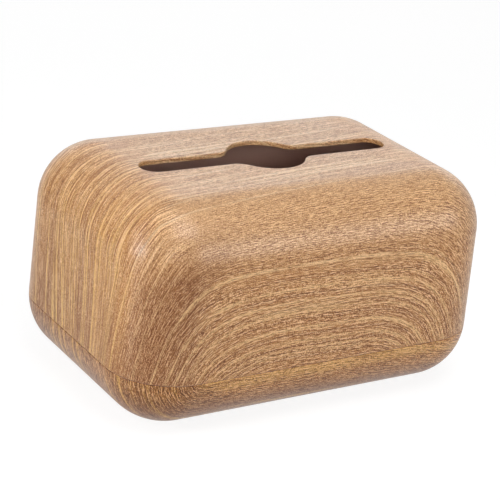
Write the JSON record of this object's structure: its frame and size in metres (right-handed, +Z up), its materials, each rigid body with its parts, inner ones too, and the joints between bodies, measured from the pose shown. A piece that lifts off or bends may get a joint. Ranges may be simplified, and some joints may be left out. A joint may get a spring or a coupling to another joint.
{
  "type": "tissue box cover",
  "caption": "Low rounded tissue box in wood-grain finish: a drafted shell with a dispensing slot and finger hole lifts off a shallow base tray on grip pads.",
  "frame": {"origin": "on the table under the middle of the box", "axes": "+X along the slot and the long sides, -Y towards the front long side, +Z up"},
  "size_m": [0.202, 0.136, 0.111],
  "materials": {
    "cover_shell": "moulded plastic with a satin printed wood-grain finish outside, plain dark brown inside",
    "base_shell": "moulded plastic with a satin printed wood-grain finish outside, plain dark brown inside",
    "grip_pad": "matt soft rubber"
  },
  "bodies": {
    "base": {"base_tray": "base_shell", "foot_pad_front_left": "grip_pad", "foot_pad_front_right": "grip_pad", "foot_pad_back_left": "grip_pad", "foot_pad_back_right": "grip_pad"},
    "cover": {"cover": "cover_shell"}
  },
  "joints": [
    {"name": "cover_lift", "type": "slide", "parent": "base", "child": "cover", "axis": [0, 0, 1], "range_m": [0, 0.1]}
  ]
}
